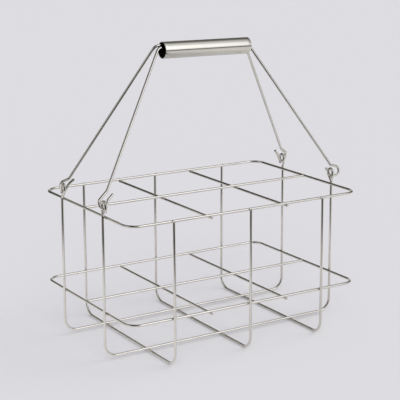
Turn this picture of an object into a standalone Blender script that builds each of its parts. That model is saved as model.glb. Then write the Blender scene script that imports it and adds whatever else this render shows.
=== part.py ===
"""Six-bottle wire carrier with a hinged double-bail handle, in metres, +Z up.

X runs along the crate, Y across it, and the crate stands on z = 0. The front is at -Y.
The body is one welded cage: two rings with dividers, three cross cradles that are also
the feet, and two long cradles whose ends rise above the top ring as eyes. Two wire bails
hook into the eyes and share one steel grip tube.
"""
import math

import bmesh
import bpy
from mathutils import Matrix, Quaternion, Vector

MM = 0.001

# Driving dimensions, in millimetres
WIRE = 3.0                 # diameter of every wire
GAP = 0.3                  # clearance kept where two wires touch
RING_LENGTH = 300.0        # centreline of the top ring, along X
RING_WIDTH = 204.0         # centreline of the top ring, along Y
RING_CORNER = 14.5
TOP_RING_Z = 163.0
LOWER_RING_Z = 54.6
FLARE = 0.5                # the lower ring is this much larger than the top one on each side
CELL_LINE_X = 50.0         # cross dividers between the three columns of cells
DIVIDER_OVERHANG = 2.6     # cross divider's end, beyond the ring's centreline
COLUMN_X = 98.0            # cross cradles, under the middle of each column
ROW_Y = 49.5               # long cradles, under the middle of each row
CRADLE_BEND = 14.5         # bend radius at a cradle's lower corners

EYE_TOP_Z = 180.7          # centreline of the wire over the top of an eye
EYE_BEND = 4.1             # half the width of an eye
EYE_LEAN = 1.5             # an eye leans this far in from its upright
EYE_NECK_Z = 165.3         # where the upright starts to bend into its eye
EYE_SHOULDER_Z = 173.0     # where the eye has its full width
EYE_END_Z = 168.8          # the wire's free end, back beside the upright

PIVOT_Z = 172.6            # hooks rest in the eyes on this line
BAR_REST_Y = 1.65          # the two bars lie side by side in the grip, at its left end

GRIP_X = 7.2               # the grip has slid towards the right-hand legs
GRIP_Z = 328.95
GRIP_TILT = math.radians(0.9)   # its right-hand end hangs a little lower
GRIP_LENGTH = 114.0
GRIP_DIAMETER = 18.8
GRIP_WALL = 1.0
GRIP_EDGE = 0.3            # deburred edges of the tube

# Each bail is bent by hand, so its bar and its two hooks have sizes of their own. A bar has
# two corners: (distance from the crate's middle, height, bend radius). A hook lies in its
# bail's plane: (distance from the crate's middle, height above the pivot).
BAILS = {
    "front_bail": {
        "side": -1, "bar_left": (55.2, 332.9, 8.0), "bar_right": (63.2, 331.1, 8.0),
        "left": {"shoulder": (145.0, 18.4), "outer": 156.2, "crest": 9.6, "inner": 148.9,
                 "throat": (145.8, 8.3), "tip": (138.3, 14.4), "bends": (5, 3.2, 4.4, 3.6)},
        "right": {"shoulder": (154.6, 11.8), "outer": 165.0, "crest": 9.2, "inner": 150.2,
                  "dip": 1.6,
                  "throat": (149.2, 5.6), "tip": (146.6, 9.6), "bends": (4, 4.8, 5.0, 3.6)},
    },
    "back_bail": {
        "side": 1, "bar_left": (57.3, 335.2, 8.0), "bar_right": (60.8, 333.4, 5.0),
        "left": {"shoulder": (146.3, 14.4), "outer": 155.6, "crest": 11.3, "inner": 148.9,
                 "throat": (145.4, 8.1), "tip": (139.4, 13.0), "bends": (3, 3.5, 4.2, 3.6)},
        "right": {"shoulder": (146.8, 17.4), "outer": 155.6, "crest": 10.6, "inner": 148.6,
                  "throat": (143.9, 8.6), "tip": (137.9, 15.8), "bends": (3, 3.4, 4.2, 3.6)},
    },
}

WIRE_SIDES = 8
GRIP_SIDES = 32
ARC_STEP = math.radians(22.5)   # longest step along a bend
SAME_POINT = 0.01               # where two bends meet, their shared point is kept once
TOUCH = WIRE + GAP              # centre distance of two wires that touch


def stainless(name, colour, roughness):
    """A plain polished or satin steel, one for each node."""
    material = bpy.data.materials.new(name)
    material.use_nodes = True
    shader = material.node_tree.nodes["Principled BSDF"]
    shader.inputs["Base Color"].default_value = (*colour, 1.0)
    shader.inputs["Metallic"].default_value = 1.0
    shader.inputs["Roughness"].default_value = roughness
    return material


def add_object(name, bm, origin=(0, 0, 0), colour=(0.62, 0.61, 0.59), roughness=0.22):
    """Turn a bmesh in crate millimetres into an object whose origin is at the given point."""
    origin = Vector(origin)
    bmesh.ops.transform(bm, matrix=Matrix.Translation(-origin), verts=bm.verts)
    bmesh.ops.scale(bm, vec=(MM, MM, MM), verts=bm.verts)
    bmesh.ops.recalc_face_normals(bm, faces=bm.faces)
    mesh = bpy.data.meshes.new(name)
    bm.to_mesh(mesh)
    bm.free()
    mesh.shade_smooth()
    mesh.set_sharp_from_angle(angle=math.radians(50))
    mesh.materials.append(stainless(name + "_steel", colour, roughness))
    obj = bpy.data.objects.new(name, mesh)
    obj.location = origin * MM
    bpy.context.scene.collection.objects.link(obj)
    return obj


def bend(corners, closed=False):
    """Points along a wire given as (corner, bend radius): straight runs joined by arcs."""
    points = []
    last = len(corners) - 1
    for i, (corner, radius) in enumerate(corners):
        corner = Vector(corner)
        if not closed and i in (0, last):
            points.append(corner)
            continue
        back = (Vector(corners[i - 1][0]) - corner).normalized()
        ahead = (Vector(corners[(i + 1) % len(corners)][0]) - corner).normalized()
        turn = math.pi - back.angle(ahead)
        centre = corner + (back + ahead).normalized() * (radius / math.cos(turn / 2))
        start = corner + back * (radius * math.tan(turn / 2)) - centre
        axis = ahead.cross(back)
        steps = max(1, math.ceil(turn / ARC_STEP))
        for k in range(steps + 1):
            point = centre + Quaternion(axis, turn * k / steps) @ start
            if not points or (point - points[-1]).length > SAME_POINT:
                points.append(point)
    return points


def sweep(points, flat_side, closed=False):
    """Sweep an eight-sided section along points, mitred, with a flat facing flat_side."""
    count = len(points)
    runs = [(points[(i + 1) % count] - points[i]).normalized() for i in range(count)]
    if not closed:
        runs[-1] = runs[-2]
    bm = bmesh.new()

    def cut_normal(i):
        if not closed and i == 0:
            return runs[0]
        if not closed and i == count - 1:
            return runs[-1]
        return (runs[i - 1] + runs[i]).normalized()

    first = runs[-1] if closed else runs[0]
    across = Vector(flat_side)
    across = (across - first * across.dot(first)).normalized()
    other = first.cross(across)
    reach = WIRE / 2 / math.cos(math.pi / WIRE_SIDES)
    angles = [(k + 0.5) * 2 * math.pi / WIRE_SIDES for k in range(WIRE_SIDES)]
    section = [points[0] + reach * (across * math.cos(a) + other * math.sin(a)) for a in angles]
    sections = []
    for i, point in enumerate(points):
        run = first if i == 0 else runs[i - 1]
        normal = cut_normal(i)
        section = [v + run * ((point - v).dot(normal) / run.dot(normal)) for v in section]
        sections.append([bm.verts.new(v) for v in section])
    joins = list(zip(sections, sections[1:]))
    if closed:
        joins.append((sections[-1], sections[0]))
    for near, far in joins:
        for k in range(WIRE_SIDES):
            n = (k + 1) % WIRE_SIDES
            bm.faces.new((near[k], near[n], far[n], far[k]))
    if not closed:
        bm.faces.new(sections[0])
        bm.faces.new(sections[-1])
    return bm


def flare(z):
    """How far the cage has grown outwards at height z; it is narrowest at the top ring."""
    return FLARE * (TOP_RING_Z - z) / (TOP_RING_Z - LOWER_RING_Z)


def ring(name, z):
    x, y = RING_LENGTH / 2 + flare(z), RING_WIDTH / 2 + flare(z)
    corners = [((sx * x, sy * y, z), RING_CORNER) for sx, sy in ((1, -1), (1, 1), (-1, 1), (-1, -1))]
    return add_object(name, sweep(bend(corners, closed=True), (0, 0, 1), closed=True))


def straight_wire(name, start, end):
    return add_object(name, sweep([Vector(start), Vector(end)], (0, 0, 1)))


def dividers(level, z):
    """The long divider butts against the ring's ends; the cross dividers lie under both."""
    end_x = RING_LENGTH / 2 + flare(z) - WIRE / 2 - GAP
    straight_wire(level + "_long_divider", (-end_x, 0, z), (end_x, 0, z))
    end_y = RING_WIDTH / 2 + flare(z) + DIVIDER_OVERHANG
    for side, word in ((-1, "left"), (1, "right")):
        x = side * CELL_LINE_X
        straight_wire(f"{level}_cross_divider_{word}", (x, -end_y, z - TOUCH), (x, end_y, z - TOUCH))


def cross_cradle(name, x):
    """A U of wire across the crate, outside both rings; its lower run is a foot."""
    z = WIRE / 2
    top_y = RING_WIDTH / 2 + TOUCH
    foot_y = top_y + flare(z)
    corners = [((x, -top_y, TOP_RING_Z), 0), ((x, -foot_y, z), CRADLE_BEND),
               ((x, foot_y, z), CRADLE_BEND), ((x, top_y, TOP_RING_Z), 0)]
    return add_object(name, sweep(bend(corners), (1, 0, 0)), origin=(x, 0, 0))


def eye(end, side):
    """Corners of the eye at one end (-1 or 1) of a long cradle, from its free end to its neck."""
    upright = end * (RING_LENGTH / 2 + TOUCH)
    x = upright - end * EYE_LEAN
    row = side * ROW_Y
    outer, inner = row + side * EYE_BEND, row - side * EYE_BEND
    return [((x, row + side * TOUCH, EYE_END_Z), 0),
            ((x, outer, EYE_SHOULDER_Z), 6),
            ((x, outer, EYE_TOP_Z), EYE_BEND),
            ((x, inner, EYE_TOP_Z), EYE_BEND),
            ((x, inner, EYE_SHOULDER_Z), 5),
            ((upright, row, EYE_NECK_Z), 5)]


def long_cradle(name, side):
    """A U of wire along the crate, lying on the cross cradles, with an eye at each end."""
    y, z = side * ROW_Y, WIRE / 2 + TOUCH
    foot_x = RING_LENGTH / 2 + TOUCH + flare(z)
    corners = eye(-1, side) + [((-foot_x, y, z), CRADLE_BEND), ((foot_x, y, z), CRADLE_BEND)]
    corners += reversed(eye(1, side))
    return add_object(name, sweep(bend(corners), (1, 0, 0)), origin=(0, y, 0))


def hook(sizes, end, place):
    """Corners of one hook, from its leg to its tip; place maps (x, height) into the crate."""
    bends = sizes["bends"]
    outline = [(*sizes["shoulder"], bends[0]), (sizes["outer"], sizes["crest"], bends[1]),
               (sizes["outer"], -sizes.get("dip", 0), bends[2]), (sizes["inner"], 0, bends[3]),
               (*sizes["throat"], 6), (*sizes["tip"], 0)]
    return [(place(end * x, height), radius) for x, height, radius in outline]


def bail(name, sizes):
    """One bail: hook, leg, bar, leg, hook, all in a plane that leans on the other bail's."""
    side = sizes["side"]
    pivot = Vector((0, side * ROW_Y, PIVOT_Z))
    top = Vector((0, side * BAR_REST_Y, sizes["bar_left"][1]))
    rise = (top - pivot).normalized()

    def place(x, height):
        return Vector((x, 0, 0)) + pivot + rise * height

    def bar_corner(end, corner):
        x, z, radius = corner
        return place(end * x, (z - PIVOT_Z) / rise.z), radius

    corners = list(reversed(hook(sizes["left"], -1, place)))
    corners += [bar_corner(-1, sizes["bar_left"]), bar_corner(1, sizes["bar_right"])]
    corners += hook(sizes["right"], 1, place)
    plane = rise.cross(Vector((1, 0, 0)))
    return add_object(name, sweep(bend(corners), plane), origin=pivot)


def grip_tube():
    """Thin tube with deburred ends, turned about its own axis and then tilted."""
    outer = GRIP_DIAMETER / 2
    inner = outer - GRIP_WALL
    half = GRIP_LENGTH / 2
    profile = [(-half, inner + GRIP_EDGE), (-half, outer - GRIP_EDGE), (-half + GRIP_EDGE, outer),
               (half - GRIP_EDGE, outer), (half, outer - GRIP_EDGE), (half, inner + GRIP_EDGE),
               (half - GRIP_EDGE, inner), (-half + GRIP_EDGE, inner)]
    bm = bmesh.new()
    rings = []
    for k in range(GRIP_SIDES):
        angle = 2 * math.pi * k / GRIP_SIDES
        rings.append([bm.verts.new((GRIP_X + x, radius * math.cos(angle),
                                    GRIP_Z + radius * math.sin(angle))) for x, radius in profile])
    for k, near in enumerate(rings):
        far = rings[(k + 1) % GRIP_SIDES]
        for i in range(len(profile)):
            n = (i + 1) % len(profile)
            bm.faces.new((near[i], near[n], far[n], far[i]))
    middle = Vector((GRIP_X, 0, GRIP_Z))
    bmesh.ops.rotate(bm, cent=middle, matrix=Matrix.Rotation(GRIP_TILT, 3, "Y"), verts=bm.verts)
    return add_object("grip_tube", bm, origin=middle,
                      colour=(0.66, 0.65, 0.62), roughness=0.3)


def build():
    for obj in list(bpy.data.objects):
        bpy.data.objects.remove(obj, do_unlink=True)
    for level, z in (("top", TOP_RING_Z), ("lower", LOWER_RING_Z)):
        ring(level + "_ring", z)
        dividers(level, z)
    for word, x in (("left", -COLUMN_X), ("middle", 0), ("right", COLUMN_X)):
        cross_cradle("cross_cradle_" + word, x)
    for word, side in (("front", -1), ("back", 1)):
        long_cradle("long_cradle_" + word, side)
    for name, sizes in BAILS.items():
        bail(name, sizes)
    grip_tube()


build()
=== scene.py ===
"""The looks of a stainless wire carrier for six milk bottles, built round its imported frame.

Every CAD wire is eight-sided. Here each one becomes a round drawn wire on the same line,
with cut ends, weld beads where wires cross, and heat tint around the beads. Only the
dividers differ: they sink into the wires that they are welded to.

Lengths of the carrier are in millimetres and those of the studio in metres. An azimuth is
0 degrees at the front and grows towards the right.
"""
import math

import bmesh
import bpy
from mathutils import Matrix, Quaternion, Vector, noise


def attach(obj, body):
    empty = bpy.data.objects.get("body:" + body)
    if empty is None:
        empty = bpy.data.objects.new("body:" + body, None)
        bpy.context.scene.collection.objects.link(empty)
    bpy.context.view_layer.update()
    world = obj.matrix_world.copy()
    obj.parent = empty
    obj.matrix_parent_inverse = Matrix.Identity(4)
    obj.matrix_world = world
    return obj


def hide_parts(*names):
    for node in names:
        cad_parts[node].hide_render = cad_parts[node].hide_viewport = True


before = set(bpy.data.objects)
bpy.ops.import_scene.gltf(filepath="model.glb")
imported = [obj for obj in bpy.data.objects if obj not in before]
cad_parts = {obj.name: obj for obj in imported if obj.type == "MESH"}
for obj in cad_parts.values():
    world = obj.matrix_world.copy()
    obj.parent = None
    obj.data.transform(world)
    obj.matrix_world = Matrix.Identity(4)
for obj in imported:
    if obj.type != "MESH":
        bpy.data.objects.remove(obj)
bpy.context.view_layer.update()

MM = 0.001

# ---------------------------------------------------------------- the carrier

WIRE = 3.0
TOUCH = 3.3                     # centre distance of two touching wires in the CAD
WELDED = 2.7                    # a cross divider sinks this close to the ring above it
BUTT_SINK = 0.25                # a long divider's ends sink this far into the ring
BUTT_WELD = 0.1                 # and their beads sit this far inside its surface
RING_LENGTH = 300.0
RING_WIDTH = 204.0
RING_CORNER = 14.5
TOP_RING_Z = 163.0
LOWER_RING_Z = 54.6
FLARE = 0.5
CELL_LINE_X = 50.0
DIVIDER_OVERHANG = 2.6
COLUMN_X = 98.0
ROW_Y = 49.5
CRADLE_BEND = 14.5

EYE_TOP_Z = 180.7
EYE_BEND = 4.1
EYE_LEAN = 1.5
EYE_NECK_Z = 165.3
EYE_SHOULDER_Z = 173.0
EYE_END_Z = 168.8
EYE_SHOULDER_BENDS = (6, 5)     # at the free end's side and at the neck's side
EYE_NECK_BEND = 5

PIVOT_Z = 172.6
BAR_REST_Y = 1.65

GRIP_X = 7.2
GRIP_Z = 328.95
GRIP_TILT = math.radians(0.9)
GRIP_LENGTH = 114.0
GRIP_DIAMETER = 18.8
GRIP_WALL = 1.0
GRIP_EDGE = 0.35                # radius of its rolled lips

# Each bail is bent by hand. A bar has two corners: (distance from the crate's middle, height,
# bend radius). A hook lies in its bail's plane: (distance, height above the pivot).
HOOK_THROAT_BEND = 6
BAILS = {
    "front_bail": {
        "side": -1, "bar_left": (55.2, 332.9, 8.0), "bar_right": (63.2, 331.1, 8.0),
        "left": {"shoulder": (145.0, 18.4), "outer": 156.2, "crest": 9.6, "inner": 148.9,
                 "throat": (145.8, 8.3), "tip": (138.3, 14.4), "bends": (5, 3.2, 4.4, 3.6)},
        "right": {"shoulder": (154.6, 11.8), "outer": 165.0, "crest": 9.2, "inner": 150.2,
                  "dip": 1.6,
                  "throat": (149.2, 5.6), "tip": (146.6, 9.6), "bends": (4, 4.8, 5.0, 3.6)},
    },
    "back_bail": {
        "side": 1, "bar_left": (57.3, 335.2, 8.0), "bar_right": (60.8, 333.4, 5.0),
        "left": {"shoulder": (146.3, 14.4), "outer": 155.6, "crest": 11.3, "inner": 148.9,
                 "throat": (145.4, 8.1), "tip": (139.4, 13.0), "bends": (3, 3.5, 4.2, 3.6)},
        "right": {"shoulder": (146.8, 17.4), "outer": 155.6, "crest": 10.6, "inner": 148.6,
                  "throat": (143.9, 8.6), "tip": (137.9, 15.8), "bends": (3, 3.4, 4.2, 3.6)},
    },
}

# A weld bead's half width and half height, and how much its lumps change them
BEAD_REACH, BEAD_REACH_LUMP = 1.75, 0.25
BEAD_HEIGHT, BEAD_HEIGHT_LUMP = 0.86, 0.1
BEAD_TO_BEAD, LUMP_SIZE = 0.37, 1.7     # how fast the lumps change between beads and round one

# The tint that a weld leaves: full up to HEAT_START from its middle, gone HEAT_REACH further
HEAT_START = 1.6
HEAT_REACH = 7.0
HEAT_FALL = 1.5
BEAD_HEAT = 2.0                 # the beads themselves are tinted twice as much

# How finely the visible pieces are meshed
WIRE_SIDES = 20
GRIP_SIDES = 96
GRIP_STEPS = 24                 # along the grip
LIP_STEPS = 5                   # round a quarter turn of its lip
BEAD_SEGMENTS = 18
BEAD_RINGS = 12
ARC_STEP = math.radians(9)
RUN_STEP = 5.0                  # longest straight step, so that the heat tint has vertices
SAME_POINT = 0.01
CUT_EDGE = 0.35                 # chamfer of a sheared wire end
SHARP_ANGLE = 40                # degrees: a sharper edge than this is shaded sharp
BEAD_SHARP_ANGLE = 80

# ---------------------------------------------------------------- the steel

# Two noises: clouds vary the colour, lines vary the roughness and the relief. A range is the
# part of the noise that goes from one end of the effect to the other
CLOUD_SCALE = 55.0              # patches of about 2 cm
CLOUD_DETAIL = 3.0
CLOUD_RANGE = (0.35, 0.65)
LINE_DETAIL = 4.0
LINE_ROUGHNESS = 0.6
LINE_RANGE = (0.3, 0.7)
LINE_DEPTH = 0.00003            # in metres
STRAW = (0.27, 0.22, 0.18)      # the colour of the heat tint
STRAW_STRENGTH = 0.45           # its share where the heat is 1
# Painted shade inside the tube, coloured nearly black: (noise, colour) at either end
BORE_METALLIC = 0.85
BORE_SCALE = 900.0
BORE_DETAIL = 5.0
BORE_SHADE_COLOURS = ((0.35, (0.012, 0.011, 0.010)), (0.7, (0.05, 0.046, 0.04)))
BORE_ROUGHNESS = (0.45, 0.75)

# ---------------------------------------------------------------- the studio

# What lights the floor: an even dome and two very wide suns (name, azimuth, elevation, power)
DOME = 0.48
DOME_COLOUR = (0.945, 0.962, 1.09)
SUNS = (
    ("side_softbox", 72, 38, 1.13),
    ("front_softbox", -25, 30, 1.39),
)
SUN_SPREAD = 50
SUN_COLOUR = (1.0, 0.980, 0.835)

BACKDROP = (0.723, 0.716, 0.753)
FLOOR_COLOUR = (0.743, 0.736, 0.776)
FLOOR_FILL = 0.06               # the floor's own light, which keeps the shadows pale
FLOOR_ROUGHNESS = 0.6
FLOOR_RINGS = (0.3, 0.6, 1.2, 2.5, 5.0, 12.0, 40.0)
FLOOR_SIDES = 64

# What the steel sees is another studio. The big softbox, from the front horizon (0 degrees)
# up over the top and down to the back horizon (180): (degrees, brightness)
MAIN_LIGHT = (
    (0, 0.30), (4, 0.72), (9, 1.36), (16, 1.62), (26, 1.70), (44, 1.70), (53, 1.50),
    (60, 1.22), (68, 1.00), (76, 0.91), (84, 0.82), (92, 0.66), (101, 0.38), (112, 0.13),
    (125, 0.08), (150, 0.07),
)
MAIN_BRIGHTEST = 2.0            # a colour ramp holds them as shares of this
# ... and how wide it is: the sideways part of the direction where it starts and is full
# on the left, where it starts to fade and has faded on the right, and what is left there
MAIN_LEFT = (-0.08, 0.38)
MAIN_RIGHT = (0.51, 0.70)
MAIN_RIGHT_REST = 0.2
# Weaker, round lights: (azimuth, elevation, half width to the middle of the soft edge,
# softness, brightness), angles in degrees
SOFT_LIGHTS = (
    (-98, 26, 22, 12, 0.75),
    (54, 8, 12, 6, 0.70),
    (-2, 44, 20, 14, 0.30),
)
SOFTBOX_COLOUR = (1.0, 1.01, 1.065)
ROOM = 0.08
ROOM_COLOUR = (1.0, 0.93, 0.78)
# Pale cards: one stands on the left, a low one stands behind on the right, and one lies on the
# floor on the right: (name, corner, opposite corner, brightness, share that fades at each edge)
CARDS = (
    ("left_card", (-0.40, 0.08, -0.10), (-0.40, 0.54, 0.44), 0.60, 0.16),
    ("low_card", (-0.05, 0.62, -0.46), (1.60, 0.62, 0.46), 0.66, 0.07),
    ("right_card", (0.17, -1.10, 0.01), (1.10, 0.30, 0.01), 0.92, 0.20),
)
# The floor that the steel sees ends like a table. Each pair is where a change starts and is
# complete: the front edge, how far right that edge is seen, the back edge, and far away
TABLE_FRONT = (-0.43, -0.34)
TABLE_FRONT_RIGHT = (0.12, 0.28)
TABLE_BACK = (0.34, 0.46)
FAR_FLOOR = (1.9, 3.0)
DARK_FLOOR = 0.05
# It also falls dark this far from the wire that mirrors it, but only left of the second pair
# and in front of the third
NEAR_FLOOR = (0.36, 0.53)
NEAR_FLOOR_RIGHT = (0.10, 0.24)
NEAR_FLOOR_BACK = (0.05, 0.20)
FLOOR_GLOW = 0.22               # on the left the steel sees it brighter than the camera does
GLOW_SIDE = (-0.22, 0.08)

# The camera: place in metres, angles in degrees, lens and sensor in millimetres
CAMERA_PLACE = (-0.74394, -1.19505, 0.50172)
CAMERA_AZIMUTH = -31.892
CAMERA_ELEVATION = 13.954
CAMERA_ROLL = -0.096
CAMERA_LENS = 112.03
CAMERA_SENSOR = 36.0
CAMERA_CLIP = (0.05, 100)


# ---------------------------------------------------------------- wire paths

def flare(z):
    """How far the cage has grown outwards at height z."""
    return FLARE * (TOP_RING_Z - z) / (TOP_RING_Z - LOWER_RING_Z)


def bend(corners, closed=False):
    """Points along a wire given as (corner, bend radius): straight runs joined by arcs."""
    points = []
    last = len(corners) - 1
    for i, (corner, radius) in enumerate(corners):
        corner = Vector(corner)
        if not closed and i in (0, last):
            points.append(corner)
            continue
        back = (Vector(corners[i - 1][0]) - corner).normalized()
        ahead = (Vector(corners[(i + 1) % len(corners)][0]) - corner).normalized()
        turn = math.pi - back.angle(ahead)
        centre = corner + (back + ahead).normalized() * (radius / math.cos(turn / 2))
        start = corner + back * (radius * math.tan(turn / 2)) - centre
        axis = ahead.cross(back)
        steps = max(1, math.ceil(turn / ARC_STEP))
        for k in range(steps + 1):
            point = centre + Quaternion(axis, turn * k / steps) @ start
            if not points or (point - points[-1]).length > SAME_POINT:
                points.append(point)
    return points


def refine(points, closed):
    """The same line with its straight runs cut into short steps."""
    result = []
    count = len(points)
    for i in range(count if closed else count - 1):
        start, end = points[i], points[(i + 1) % count]
        steps = max(1, math.ceil((end - start).length / RUN_STEP))
        result += [start.lerp(end, k / steps) for k in range(steps)]
    if not closed:
        result.append(points[-1])
    return result


def eye(end, side):
    """Corners of the eye at one end of a long cradle, from its free end to its neck."""
    upright = end * (RING_LENGTH / 2 + TOUCH)
    x = upright - end * EYE_LEAN
    row = side * ROW_Y
    outer, inner = row + side * EYE_BEND, row - side * EYE_BEND
    return [((x, row + side * TOUCH, EYE_END_Z), 0),
            ((x, outer, EYE_SHOULDER_Z), EYE_SHOULDER_BENDS[0]),
            ((x, outer, EYE_TOP_Z), EYE_BEND),
            ((x, inner, EYE_TOP_Z), EYE_BEND),
            ((x, inner, EYE_SHOULDER_Z), EYE_SHOULDER_BENDS[1]),
            ((upright, row, EYE_NECK_Z), EYE_NECK_BEND)]


def hook(sizes, end, place):
    """Corners of one hook, from its leg to its tip."""
    bends = sizes["bends"]
    outline = [(*sizes["shoulder"], bends[0]), (sizes["outer"], sizes["crest"], bends[1]),
               (sizes["outer"], -sizes.get("dip", 0), bends[2]), (sizes["inner"], 0, bends[3]),
               (*sizes["throat"], HOOK_THROAT_BEND), (*sizes["tip"], 0)]
    return [(place(end * x, height), radius) for x, height, radius in outline]


def bail_path(sizes):
    """The line of one bail, and the normal of the plane it lies in."""
    side = sizes["side"]
    pivot = Vector((0, side * ROW_Y, PIVOT_Z))
    top = Vector((0, side * BAR_REST_Y, sizes["bar_left"][1]))
    rise = (top - pivot).normalized()

    def place(x, height):
        return Vector((x, 0, 0)) + pivot + rise * height

    def bar_corner(end, corner):
        x, z, radius = corner
        return place(end * x, (z - PIVOT_Z) / rise.z), radius

    corners = list(reversed(hook(sizes["left"], -1, place)))
    corners += [bar_corner(-1, sizes["bar_left"]), bar_corner(1, sizes["bar_right"])]
    corners += hook(sizes["right"], 1, place)
    return bend(corners), rise.cross(Vector((1, 0, 0)))


def wires():
    """Every wire of the crate: name, line, closed, a direction square to the line."""
    up = Vector((0, 0, 1))
    for level, z in (("top", TOP_RING_Z), ("lower", LOWER_RING_Z)):
        x, y = RING_LENGTH / 2 + flare(z), RING_WIDTH / 2 + flare(z)
        corners = [((sx * x, sy * y, z), RING_CORNER)
                   for sx, sy in ((1, -1), (1, 1), (-1, 1), (-1, -1))]
        yield level + "_ring", bend(corners, closed=True), True, up
        end_x = x - WIRE / 2 + BUTT_SINK
        yield (level + "_long_divider", [Vector((-end_x, 0, z)), Vector((end_x, 0, z))],
               False, up)
        end_y = y + DIVIDER_OVERHANG
        for side, word in ((-1, "left"), (1, "right")):
            cx = side * CELL_LINE_X
            yield (f"{level}_cross_divider_{word}",
                   [Vector((cx, -end_y, z - WELDED)), Vector((cx, end_y, z - WELDED))], False, up)
    for word, x in (("left", -COLUMN_X), ("middle", 0.0), ("right", COLUMN_X)):
        z = WIRE / 2
        top_y = RING_WIDTH / 2 + TOUCH
        foot_y = top_y + flare(z)
        corners = [((x, -top_y, TOP_RING_Z), 0), ((x, -foot_y, z), CRADLE_BEND),
                   ((x, foot_y, z), CRADLE_BEND), ((x, top_y, TOP_RING_Z), 0)]
        yield "cross_cradle_" + word, bend(corners), False, Vector((1, 0, 0))
    for word, side in (("front", -1), ("back", 1)):
        y, z = side * ROW_Y, WIRE / 2 + TOUCH
        foot_x = RING_LENGTH / 2 + TOUCH + flare(z)
        corners = eye(-1, side) + [((-foot_x, y, z), CRADLE_BEND), ((foot_x, y, z), CRADLE_BEND)]
        corners += reversed(eye(1, side))
        yield "long_cradle_" + word, bend(corners), False, Vector((1, 0, 0))


def welds():
    """Where wires are welded: group, point between them, and the direction across the joint."""
    for level, z in (("top", TOP_RING_Z), ("lower", LOWER_RING_Z)):
        x, y = RING_LENGTH / 2 + flare(z), RING_WIDTH / 2 + flare(z)
        for side in (-1, 1):
            for cx in (-COLUMN_X, 0.0, COLUMN_X):
                yield level, Vector((cx, side * (y + TOUCH / 2), z)), Vector((0, side, 0))
            for cy in (-ROW_Y, ROW_Y):
                yield level, Vector((side * (x + TOUCH / 2), cy, z)), Vector((side, 0, 0))
            for cx in (-CELL_LINE_X, CELL_LINE_X):
                yield level, Vector((cx, side * y, z - WELDED / 2)), Vector((0, 0, 1))
            yield level, Vector((side * (x - WIRE / 2 - BUTT_WELD), 0, z)), Vector((side, 0, 0))
            yield level, Vector((side * CELL_LINE_X, 0, z - WELDED / 2)), Vector((0, 0, 1))
    for cx in (-COLUMN_X, 0.0, COLUMN_X):
        for cy in (-ROW_Y, ROW_Y):
            yield "base", Vector((cx, cy, WIRE / 2 + TOUCH / 2)), Vector((0, 0, 1))


WELDS = list(welds())


def heat_at(point):
    """How much a point is tinted by the nearest weld, from 0 to 1."""
    nearest = min((point - spot).length for _, spot, _ in WELDS)
    return max(0.0, 1 - max(0.0, nearest - HEAT_START) / HEAT_REACH) ** HEAT_FALL


# ---------------------------------------------------------------- meshes

def add_piece(name, bm, body, nodes, materials, sharp=SHARP_ANGLE):
    """Turn a bmesh in millimetres into a visible piece on its CAD body."""
    bmesh.ops.scale(bm, vec=(MM, MM, MM), verts=bm.verts)
    bmesh.ops.recalc_face_normals(bm, faces=bm.faces)
    mesh = bpy.data.meshes.new(name)
    bm.to_mesh(mesh)
    bm.free()
    mesh.shade_smooth()
    mesh.set_sharp_from_angle(angle=math.radians(sharp))
    for material in materials:
        mesh.materials.append(material)
    obj = bpy.data.objects.new(name, mesh)
    bpy.context.scene.collection.objects.link(obj)
    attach(obj, body)
    if nodes:
        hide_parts(*nodes)


def round_wire(points, closed, square, tinted):
    """Sweep a round section along a line, carrying the section without twist.

    Each vertex keeps its place on the wire (grain: length along, then the section's two
    directions, in metres) and how far a weld has tinted it (heat).
    """
    points = refine(points, closed)
    count = len(points)
    bm = bmesh.new()
    grain = bm.verts.layers.float_vector.new("grain")
    heat = bm.verts.layers.float.new("heat")

    def heading(i):
        ahead = points[(i + 1) % count] if closed or i < count - 1 else points[i]
        behind = points[i - 1] if closed or i > 0 else points[i]
        a, b = ahead - points[i], points[i] - behind
        return (a.normalized() + b.normalized()).normalized()

    across = Vector(square)
    along = 0.0
    sections = []
    for i, point in enumerate(points):
        if i:
            along += (point - points[i - 1]).length
        run = heading(i)
        across = (across - run * across.dot(run)).normalized()
        other = run.cross(across)
        warmth = heat_at(point) if tinted else 0.0
        ends = [(0.0, WIRE / 2)]
        if not closed and i == 0:
            ends = [(0.0, WIRE / 2 - CUT_EDGE), (CUT_EDGE, WIRE / 2)]
        elif not closed and i == count - 1:
            ends = [(-CUT_EDGE, WIRE / 2), (0.0, WIRE / 2 - CUT_EDGE)]
        for shift, radius in ends:
            ring = []
            for k in range(WIRE_SIDES):
                a = 2 * math.pi * k / WIRE_SIDES
                offset = across * math.cos(a) + other * math.sin(a)
                v = bm.verts.new(point + run * shift + offset * radius)
                v[grain] = (along * MM, math.cos(a) * radius * MM, math.sin(a) * radius * MM)
                v[heat] = warmth
                ring.append(v)
            sections.append(ring)
    pairs = list(zip(sections, sections[1:]))
    if closed:
        pairs.append((sections[-1], sections[0]))
    for near, far in pairs:
        for k in range(WIRE_SIDES):
            n = (k + 1) % WIRE_SIDES
            bm.faces.new((near[k], near[n], far[n], far[k]))
    if not closed:
        bm.faces.new(sections[0])
        bm.faces.new(sections[-1])
    return bm


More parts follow.
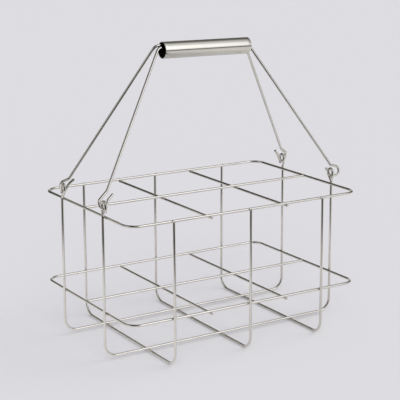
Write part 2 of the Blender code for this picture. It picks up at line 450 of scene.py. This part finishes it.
def weld_beads(group):
    """Squeezed-out metal between two welded wires: a low, uneven cushion at each joint."""
    bm = bmesh.new()
    grain = bm.verts.layers.float_vector.new("grain")
    heat = bm.verts.layers.float.new("heat")
    for name, spot, axis in WELDS:
        if name != group:
            continue
        made = bmesh.ops.create_uvsphere(bm, u_segments=BEAD_SEGMENTS, v_segments=BEAD_RINGS,
                                         radius=1.0)["verts"]
        turn = Vector((0, 0, 1)).rotation_difference(axis).to_matrix()
        for v in made:
            lump = noise.noise(spot * BEAD_TO_BEAD + v.co * LUMP_SIZE)
            flat = Vector((v.co.x, v.co.y, 0))
            reach = BEAD_REACH + BEAD_REACH_LUMP * lump
            height = BEAD_HEIGHT + BEAD_HEIGHT_LUMP * lump
            v.co = flat * reach + Vector((0, 0, v.co.z * height))
            v.co = turn @ v.co + spot
            v[grain] = v.co * MM
            v[heat] = BEAD_HEAT
    return bm


def tube_mesh():
    """The grip: a thin tube with rolled-over lips. Its inside takes the second material."""
    outer = GRIP_DIAMETER / 2
    inner = outer - GRIP_WALL
    half = GRIP_LENGTH / 2
    straight = GRIP_LENGTH - 2 * GRIP_EDGE

    def lip(end):
        """A lip's (x, radius) points, from the outside round to the inside."""
        arc = []
        for centre, first in ((outer - GRIP_EDGE, 90), (inner + GRIP_EDGE, 0)):
            for k in range(LIP_STEPS + 1):
                a = math.radians(first - 90 * k / LIP_STEPS)
                arc.append((end * (half - GRIP_EDGE + GRIP_EDGE * math.cos(a)),
                            centre + GRIP_EDGE * math.sin(a)))
        return arc

    profile = [(-half + GRIP_EDGE + straight * k / GRIP_STEPS, outer)
               for k in range(1, GRIP_STEPS)]
    profile += lip(1)
    profile += [(half - GRIP_EDGE - straight * k / GRIP_STEPS, inner)
                for k in range(1, GRIP_STEPS)]
    profile += reversed(lip(-1))
    bm = bmesh.new()
    grain = bm.verts.layers.float_vector.new("grain")
    rings = []
    for k in range(GRIP_SIDES):
        a = 2 * math.pi * k / GRIP_SIDES
        ring = []
        for x, radius in profile:
            v = bm.verts.new((GRIP_X + x, radius * math.cos(a), GRIP_Z + radius * math.sin(a)))
            v[grain] = (x * MM, radius * math.cos(a) * MM, radius * math.sin(a) * MM)
            ring.append(v)
        rings.append(ring)
    bore_radius = inner + GRIP_EDGE / 2
    for k, near in enumerate(rings):
        far = rings[(k + 1) % GRIP_SIDES]
        for i in range(len(profile)):
            n = (i + 1) % len(profile)
            face = bm.faces.new((near[i], near[n], far[n], far[i]))
            face.material_index = int(profile[i][1] < bore_radius and profile[n][1] < bore_radius)
    bmesh.ops.rotate(bm, cent=(GRIP_X, 0, GRIP_Z), matrix=Matrix.Rotation(GRIP_TILT, 3, "Y"),
                     verts=bm.verts)
    return bm


# ---------------------------------------------------------------- shader nodes

def node(tree, kind, **settings):
    """A new node with some of its own settings."""
    made = tree.nodes.new(kind)
    for key, value in settings.items():
        setattr(made, key, value)
    return made


def put(tree, socket, value):
    """Link another node's output to a socket, or give the socket a plain value."""
    if isinstance(value, bpy.types.NodeSocket):
        tree.links.new(value, socket)
    else:
        socket.default_value = value


def calculate(tree, operation, *values):
    """Fold a two-sided operation over sockets and numbers, from the first to the last."""
    result = values[0]
    for value in values[1:]:
        made = node(tree, "ShaderNodeMath", operation=operation)
        put(tree, made.inputs[0], result)
        put(tree, made.inputs[1], value)
        result = made.outputs["Value"]
    return result


def remap(tree, value, start, end, low, high, shape="LINEAR"):
    """Turn start..end into low..high, and hold the value beyond either end."""
    made = node(tree, "ShaderNodeMapRange", interpolation_type=shape)
    for socket, number in (("From Min", start), ("From Max", end),
                           ("To Min", low), ("To Max", high)):
        made.inputs[socket].default_value = number
    tree.links.new(value, made.inputs["Value"])
    return made.outputs["Result"]


def smooth_step(tree, value, start, end, low=0.0, high=1.0):
    return remap(tree, value, start, end, low, high, "SMOOTHSTEP")


def noise_pattern(tree, place, scale, detail, roughness=0.5):
    made = node(tree, "ShaderNodeTexNoise")
    made.inputs["Scale"].default_value = scale
    made.inputs["Detail"].default_value = detail
    made.inputs["Roughness"].default_value = roughness
    tree.links.new(place, made.inputs["Vector"])
    return made.outputs["Fac"]


def mix_colour(tree, factor, first, second):
    made = node(tree, "ShaderNodeMix", data_type="RGBA")
    put(tree, made.inputs["Factor"], factor)
    put(tree, made.inputs["A"], first)
    put(tree, made.inputs["B"], second)
    return made.outputs["Result"]


def mix_shader(tree, factor, first, second):
    made = node(tree, "ShaderNodeMixShader")
    for socket, value in zip(made.inputs, (factor, first, second)):
        tree.links.new(value, socket)
    return made.outputs["Shader"]


def emission(tree, strength):
    made = node(tree, "ShaderNodeEmission")
    made.inputs["Strength"].default_value = strength
    return made.outputs["Emission"]


def axes(tree, vector):
    """The X, Y and Z of a vector."""
    split = node(tree, "ShaderNodeSeparateXYZ")
    tree.links.new(vector, split.inputs["Vector"])
    return [split.outputs[axis] for axis in "XYZ"]


def new_material(name):
    """A material with its node tree and its Principled shader."""
    material = bpy.data.materials.new(name)
    material.use_nodes = True
    return material, material.node_tree, material.node_tree.nodes["Principled BSDF"]


# ---------------------------------------------------------------- materials

def steel(name, pale, deep, roughness, grain_scale, relief, tint=True):
    """Stainless steel whose drawing or brushing lines follow the grain attribute."""
    material, tree, shader = new_material(name)
    link = tree.links.new
    shader.inputs["Metallic"].default_value = 1.0
    grain = node(tree, "ShaderNodeAttribute", attribute_name="grain")
    stretch = node(tree, "ShaderNodeMapping")
    stretch.inputs["Scale"].default_value = grain_scale
    link(grain.outputs["Vector"], stretch.inputs["Vector"])
    lines = noise_pattern(tree, stretch.outputs["Vector"], 1.0, LINE_DETAIL, LINE_ROUGHNESS)

    place = node(tree, "ShaderNodeTexCoord").outputs["Object"]
    cloud = noise_pattern(tree, place, CLOUD_SCALE, CLOUD_DETAIL)
    surface = mix_colour(tree, remap(tree, cloud, *CLOUD_RANGE, 0.0, 1.0), (*deep, 1), (*pale, 1))
    if tint:
        heat = node(tree, "ShaderNodeAttribute", attribute_name="heat").outputs["Fac"]
        surface = mix_colour(tree, calculate(tree, "MULTIPLY", heat, STRAW_STRENGTH),
                             surface, (*STRAW, 1))
    link(surface, shader.inputs["Base Color"])
    link(remap(tree, lines, *LINE_RANGE, *roughness), shader.inputs["Roughness"])

    bump = node(tree, "ShaderNodeBump")
    bump.inputs["Strength"].default_value = relief
    bump.inputs["Distance"].default_value = LINE_DEPTH
    link(lines, bump.inputs["Height"])
    link(bump.outputs["Normal"], shader.inputs["Normal"])
    return material


def shaded_bore_steel(name):
    """The tube's unpolished inside, coloured nearly black: painted shade in the bore."""
    material, tree, shader = new_material(name)
    link = tree.links.new
    shader.inputs["Metallic"].default_value = BORE_METALLIC
    place = node(tree, "ShaderNodeTexCoord").outputs["Object"]
    scale = noise_pattern(tree, place, BORE_SCALE, BORE_DETAIL)
    # painted shade: the ramp colours the inside nearly black
    ramp = node(tree, "ShaderNodeValToRGB")
    for element, (position, colour) in zip(ramp.color_ramp.elements, BORE_SHADE_COLOURS):
        element.position = position
        element.color = (*colour, 1)
    link(scale, ramp.inputs["Fac"])
    link(ramp.outputs["Color"], shader.inputs["Base Color"])
    link(remap(tree, scale, 0.0, 1.0, *BORE_ROUGHNESS), shader.inputs["Roughness"])
    return material


# ---------------------------------------------------------------- studio

def stage_object(name, mesh):
    """Place a mesh that belongs to the studio and not to the carrier."""
    obj = bpy.data.objects.new(name, mesh)
    bpy.context.scene.collection.objects.link(obj)
    return obj


def compass(azimuth, elevation):
    """The direction of an azimuth and an elevation, in degrees."""
    a, e = math.radians(azimuth), math.radians(elevation)
    return Vector((math.sin(a) * math.cos(e), -math.cos(a) * math.cos(e), math.sin(e)))


def main_light(tree, direction):
    """Brightness of the big softbox in a direction."""
    x, y, z = axes(tree, direction)
    up_from_front = calculate(tree, "ARCTAN2", z, calculate(tree, "MULTIPLY", y, -1.0))
    ramp = node(tree, "ShaderNodeValToRGB")
    ramp.color_ramp.interpolation = "LINEAR"
    elements = ramp.color_ramp.elements
    while len(elements) < len(MAIN_LIGHT):
        elements.new(0.5)
    for element, (degrees, brightness) in zip(elements, MAIN_LIGHT):
        element.position = degrees / 180
        element.color = (*[brightness / MAIN_BRIGHTEST] * 3, 1)
    tree.links.new(calculate(tree, "DIVIDE", up_from_front, math.pi), ramp.inputs["Fac"])
    left = smooth_step(tree, x, *MAIN_LEFT)
    right = smooth_step(tree, x, *MAIN_RIGHT, 1.0, MAIN_RIGHT_REST)
    above = calculate(tree, "GREATER_THAN", z, 0.0)
    return calculate(tree, "MULTIPLY", ramp.outputs["Color"], MAIN_BRIGHTEST, left, right, above)


def soft_light(tree, direction, azimuth, elevation, half, soft, brightness):
    """Brightness of a round light with a soft edge in a direction."""
    dot = node(tree, "ShaderNodeVectorMath", operation="DOT_PRODUCT")
    tree.links.new(direction, dot.inputs[0])
    dot.inputs[1].default_value = compass(azimuth, elevation)
    return smooth_step(tree, dot.outputs["Value"], math.cos(math.radians(half + soft)),
                       math.cos(math.radians(half - soft)), 0.0, brightness)


def background(tree, colour, strength):
    made = node(tree, "ShaderNodeBackground")
    made.inputs["Color"].default_value = (*colour, 1)
    put(tree, made.inputs["Strength"], strength)
    return made.outputs["Background"]


def studio_world():
    """A pale backdrop for the camera, an even dome for the floor, and for the steel a dark
    room with soft lights in it."""
    world = bpy.data.worlds.new("studio")
    bpy.context.scene.world = world
    world.use_nodes = True
    world.cycles.sampling_method = "NONE"
    tree = world.node_tree
    tree.nodes.clear()
    direction = node(tree, "ShaderNodeTexCoord").outputs["Generated"]
    lights = calculate(tree, "ADD", main_light(tree, direction),
                       *[soft_light(tree, direction, *light) for light in SOFT_LIGHTS])
    room = node(tree, "ShaderNodeAddShader")
    tree.links.new(background(tree, SOFTBOX_COLOUR, lights), room.inputs[0])
    tree.links.new(background(tree, ROOM_COLOUR, ROOM), room.inputs[1])

    path = node(tree, "ShaderNodeLightPath")
    surface = mix_shader(tree, path.outputs["Is Glossy Ray"], background(tree, DOME_COLOUR, DOME),
                         room.outputs["Shader"])
    surface = mix_shader(tree, path.outputs["Is Camera Ray"], surface,
                         background(tree, BACKDROP, 1.0))
    out = node(tree, "ShaderNodeOutputWorld")
    tree.links.new(surface, out.inputs["Surface"])


def floor_material():
    """Pale and matt. In the steel's reflections it ends like a table and glows on the left."""
    material, tree, shader = new_material("studio_floor")
    shader.inputs["Base Color"].default_value = (*FLOOR_COLOUR, 1)
    shader.inputs["Roughness"].default_value = FLOOR_ROUGHNESS
    shader.inputs["Specular IOR Level"].default_value = 0.0
    shader.inputs["Emission Color"].default_value = (1, 1, 1, 1)
    path = node(tree, "ShaderNodeLightPath")
    in_steel = path.outputs["Is Glossy Ray"]
    place = node(tree, "ShaderNodeNewGeometry").outputs["Position"]
    x, y, _ = axes(tree, place)
    distance = node(tree, "ShaderNodeVectorMath", operation="LENGTH")
    tree.links.new(place, distance.inputs[0])

    past_front = calculate(tree, "MULTIPLY", smooth_step(tree, y, *TABLE_FRONT, 1.0, 0.0),
                           smooth_step(tree, x, *TABLE_FRONT_RIGHT, 1.0, 0.0))
    far_from_wire = calculate(tree, "MULTIPLY",
                              smooth_step(tree, path.outputs["Ray Length"], *NEAR_FLOOR),
                              smooth_step(tree, x, *NEAR_FLOOR_RIGHT, 1.0, 0.0),
                              smooth_step(tree, y, *NEAR_FLOOR_BACK, 1.0, 0.0))
    unlit = calculate(tree, "MAXIMUM", past_front,
                      smooth_step(tree, distance.outputs["Value"], *FAR_FLOOR),
                      smooth_step(tree, y, *TABLE_BACK), far_from_wire)
    glow = calculate(tree, "MULTIPLY", in_steel,
                     smooth_step(tree, x, *GLOW_SIDE, FLOOR_GLOW, 0.0))
    tree.links.new(calculate(tree, "ADD", glow, FLOOR_FILL), shader.inputs["Emission Strength"])
    surface = mix_shader(tree, calculate(tree, "MULTIPLY", unlit, in_steel),
                         shader.outputs["BSDF"], emission(tree, DARK_FLOOR))
    tree.links.new(surface, tree.nodes["Material Output"].inputs["Surface"])
    return material


def floor():
    """A wide disc at the height of the carrier's feet."""
    bm = bmesh.new()
    centre = bm.verts.new((0, 0, 0))
    previous = None
    for radius in FLOOR_RINGS:
        ring = [bm.verts.new((radius * math.cos(2 * math.pi * k / FLOOR_SIDES),
                              radius * math.sin(2 * math.pi * k / FLOOR_SIDES), 0))
                for k in range(FLOOR_SIDES)]
        for k in range(FLOOR_SIDES):
            n = (k + 1) % FLOOR_SIDES
            if previous is None:
                bm.faces.new((centre, ring[k], ring[n]))
            else:
                bm.faces.new((previous[k], ring[k], ring[n], previous[n]))
        previous = ring
    mesh = bpy.data.meshes.new("studio_floor")
    bm.to_mesh(mesh)
    bm.free()
    mesh.materials.append(floor_material())
    stage_object("studio_floor", mesh)


def card(name, corner, opposite, brightness, fade):
    """A pale card with soft edges, square to the axes, that only the steel sees."""
    first, second = [axis for axis in range(3) if corner[axis] != opposite[axis]]
    corners = [list(corner) for _ in range(4)]
    corners[1][first] = corners[2][first] = opposite[first]
    corners[2][second] = corners[3][second] = opposite[second]
    mesh = bpy.data.meshes.new(name)
    mesh.from_pydata(corners, [], [(0, 1, 2, 3)])
    uv = mesh.uv_layers.new(name="UVMap")
    for loop, place in zip(uv.data, ((0, 0), (1, 0), (1, 1), (0, 1))):
        loop.uv = place
    obj = stage_object(name, mesh)
    for kind in ("camera", "diffuse", "shadow", "transmission", "volume_scatter"):
        setattr(obj, "visible_" + kind, False)

    material, tree, _ = new_material(name)
    material.cycles.emission_sampling = "NONE"
    tree.nodes.clear()
    middle = node(tree, "ShaderNodeVectorMath", operation="SUBTRACT")
    tree.links.new(node(tree, "ShaderNodeTexCoord").outputs["UV"], middle.inputs[0])
    middle.inputs[1].default_value = (0.5, 0.5, 0.0)
    size = node(tree, "ShaderNodeVectorMath", operation="ABSOLUTE")
    tree.links.new(middle.outputs["Vector"], size.inputs[0])
    x, y, _ = axes(tree, size.outputs["Vector"])
    solid = smooth_step(tree, calculate(tree, "MAXIMUM", x, y), 0.5 - fade, 0.5, 1.0, 0.0)
    clear = node(tree, "ShaderNodeBsdfTransparent").outputs["BSDF"]
    out = node(tree, "ShaderNodeOutputMaterial")
    tree.links.new(mix_shader(tree, solid, clear, emission(tree, brightness)),
                   out.inputs["Surface"])
    mesh.materials.append(material)


def soft_sun(name, azimuth, elevation, power):
    """A very wide sun: it lights the floor evenly and casts soft shadows; the steel doesn't
    see it."""
    data = bpy.data.lights.new(name, "SUN")
    data.energy = power
    data.color = SUN_COLOUR
    data.angle = math.radians(SUN_SPREAD)
    obj = bpy.data.objects.new(name, data)
    obj.rotation_mode = "QUATERNION"
    obj.rotation_quaternion = (-compass(azimuth, elevation)).to_track_quat("-Z", "Y")
    obj.visible_camera = False
    obj.visible_glossy = False
    bpy.context.scene.collection.objects.link(obj)


def camera():
    """The camera stands to the front left and a little above."""
    azimuth, roll = math.radians(CAMERA_AZIMUTH), math.radians(CAMERA_ROLL)
    back = compass(CAMERA_AZIMUTH, CAMERA_ELEVATION)
    level = Vector((math.cos(azimuth), math.sin(azimuth), 0))
    plumb = back.cross(level)
    right = level * math.cos(roll) + plumb * math.sin(roll)
    up = plumb * math.cos(roll) - level * math.sin(roll)
    data = bpy.data.cameras.new("camera")
    data.sensor_width = CAMERA_SENSOR
    data.lens = CAMERA_LENS
    data.clip_start, data.clip_end = CAMERA_CLIP
    obj = bpy.data.objects.new("camera", data)
    basis = Matrix((right, up, back)).transposed().to_4x4()
    obj.matrix_world = Matrix.Translation(CAMERA_PLACE) @ basis
    bpy.context.scene.collection.objects.link(obj)
    bpy.context.scene.camera = obj


# ---------------------------------------------------------------- assembly

bpy.context.scene.view_settings.view_transform = "Standard"

wire_steel = steel("polished_wire", pale=(0.70, 0.675, 0.62), deep=(0.65, 0.625, 0.575),
                   roughness=(0.10, 0.18), grain_scale=(30, 3500, 3500), relief=0.10)
tube_steel = steel("brushed_tube", pale=(0.63, 0.605, 0.55), deep=(0.60, 0.575, 0.52),
                   roughness=(0.13, 0.20), grain_scale=(4500, 55, 55), relief=0.35, tint=False)
# the tube's inside, coloured nearly black as painted shade
bore = shaded_bore_steel("tube_bore_shade")

for name, points, closed, square in wires():
    bm = round_wire(points, closed, square, True)
    add_piece(name + "_wire", bm, "crate", [name], [wire_steel])
for group in ("top", "lower", "base"):
    add_piece(group + "_weld_beads", weld_beads(group), "crate", [],
              [wire_steel], sharp=BEAD_SHARP_ANGLE)
for name, sizes in BAILS.items():
    points, square = bail_path(sizes)
    add_piece(name + "_wire", round_wire(points, False, square, False), name,
              [name], [wire_steel])
add_piece("grip_tube_shell", tube_mesh(), "grip", ["grip_tube"],
          [tube_steel, bore])

studio_world()
floor()
for sun in SUNS:
    soft_sun(*sun)
for pale_card in CARDS:
    card(*pale_card)
camera()
